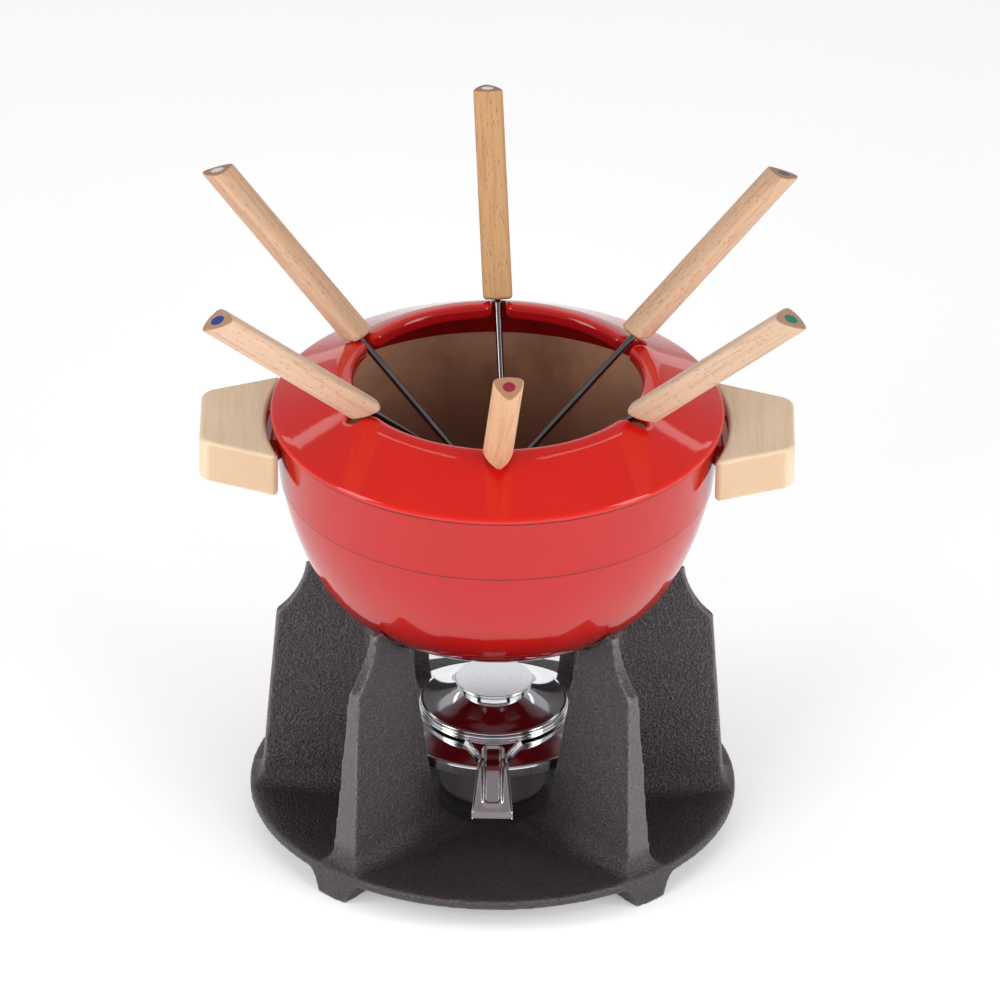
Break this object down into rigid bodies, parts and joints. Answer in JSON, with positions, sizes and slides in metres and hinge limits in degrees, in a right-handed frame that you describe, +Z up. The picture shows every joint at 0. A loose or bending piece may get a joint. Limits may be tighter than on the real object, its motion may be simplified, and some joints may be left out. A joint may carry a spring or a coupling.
{
  "type": "fondue pot set",
  "caption": "Enamelled pot with wooden side grips on a finned cast stand with a fuel burner, a notched splash guard and long forks.",
  "frame": {"origin": "on the table plane, under the middle of the pot and the stand", "axes": "+Z up, -Y towards the front of the set, where the burner lever points, +X to the right of a viewer at the front"},
  "size_m": [0.2913, 0.318, 0.322],
  "materials": {
    "iron": "matt pebbled black",
    "enamel_red": "glossy enamel",
    "guard_red": "glossy enamel",
    "grip_wood": "sanded pale maple",
    "fork_wood": "sanded pale beech",
    "fork_steel": "polished",
    "screw_steel": "plain",
    "chrome": "mirror",
    "cup_steel": "dark mirror",
    "cap_satin": "satin",
    "insert_steel": "satin",
    "gauze_steel": "fine punched",
    "wadding": "absorbent wadding",
    "inlay_crimson": "painted",
    "inlay_blue": "painted",
    "inlay_green": "painted",
    "inlay_charcoal": "painted",
    "inlay_cream": "painted",
    "inlay_grey": "painted"
  },
  "bodies": {
    "stand": {"stand_casting": "iron"},
    "pot": {"pot_bowl": "enamel_red", "pot_handle_left": "grip_wood", "pot_handle_right": "grip_wood", "handle_screws": "screw_steel"},
    "guard": {"guard_ring": "guard_red"},
    "burner": {"burner_cup": "cup_steel", "burner_tray": "chrome", "fuel_insert": "insert_steel", "fuel_wadding": "wadding", "burner_gauze": "gauze_steel", "burner_throat": "chrome"},
    "regulator": {"regulator_ring": "chrome", "regulator_lever": "chrome"},
    "snuffer": {"snuffer_bell": "chrome", "snuffer_cap": "cap_satin"},
    "fork_back": {"fork_back_handle": "fork_wood", "fork_back_inlay": "inlay_cream", "fork_back_shaft": "fork_steel"},
    "fork_back_left": {"fork_back_left_handle": "fork_wood", "fork_back_left_inlay": "inlay_grey", "fork_back_left_shaft": "fork_steel"},
    "fork_back_right": {"fork_back_right_handle": "fork_wood", "fork_back_right_inlay": "inlay_charcoal", "fork_back_right_shaft": "fork_steel"},
    "fork_front_left": {"fork_front_left_handle": "fork_wood", "fork_front_left_inlay": "inlay_blue", "fork_front_left_shaft": "fork_steel"},
    "fork_front_right": {"fork_front_right_handle": "fork_wood", "fork_front_right_inlay": "inlay_green", "fork_front_right_shaft": "fork_steel"},
    "fork_front": {"fork_front_handle": "fork_wood", "fork_front_inlay": "inlay_crimson", "fork_front_shaft": "fork_steel"}
  },
  "joints": [
    {"name": "pot_lift", "type": "slide", "parent": "stand", "child": "pot", "axis": [0, 0, 1], "range_m": [0, 0.15]},
    {"name": "guard_lift", "type": "slide", "parent": "pot", "child": "guard", "axis": [0, 0, 1], "range_m": [0, 0.05]},
    {"name": "burner_lift", "type": "slide", "parent": "stand", "child": "burner", "axis": [0, 0, 1], "range_m": [0, 0.018]},
    {"name": "regulator_turn", "type": "hinge", "parent": "burner", "child": "regulator", "pos_m": [0, 0, 0.057], "axis": [0, 0, 1], "range_deg": [-18, 18]},
    {"name": "snuffer_lift", "type": "slide", "parent": "burner", "child": "snuffer", "axis": [0, 0, 1], "range_m": [0, 0.018]},
    {"name": "fork_back_draw", "type": "slide", "parent": "guard", "child": "fork_back", "axis": [-0.059, 0.6743, 0.7361], "range_m": [0, 0.09]},
    {"name": "fork_back_left_draw", "type": "slide", "parent": "guard", "child": "fork_back_left", "axis": [-0.6552, 0.3382, 0.6756], "range_m": [0, 0.09]},
    {"name": "fork_back_right_draw", "type": "slide", "parent": "guard", "child": "fork_back_right", "axis": [0.6676, 0.364, 0.6494], "range_m": [0, 0.09]},
    {"name": "fork_front_left_draw", "type": "slide", "parent": "guard", "child": "fork_front_left", "axis": [-0.6715, -0.3616, 0.6468], "range_m": [0, 0.09]},
    {"name": "fork_front_right_draw", "type": "slide", "parent": "guard", "child": "fork_front_right", "axis": [0.6636, -0.3266, 0.673], "range_m": [0, 0.09]},
    {"name": "fork_front_draw", "type": "slide", "parent": "guard", "child": "fork_front", "axis": [0.0438, -0.6767, 0.7349], "range_m": [0, 0.09]}
  ]
}
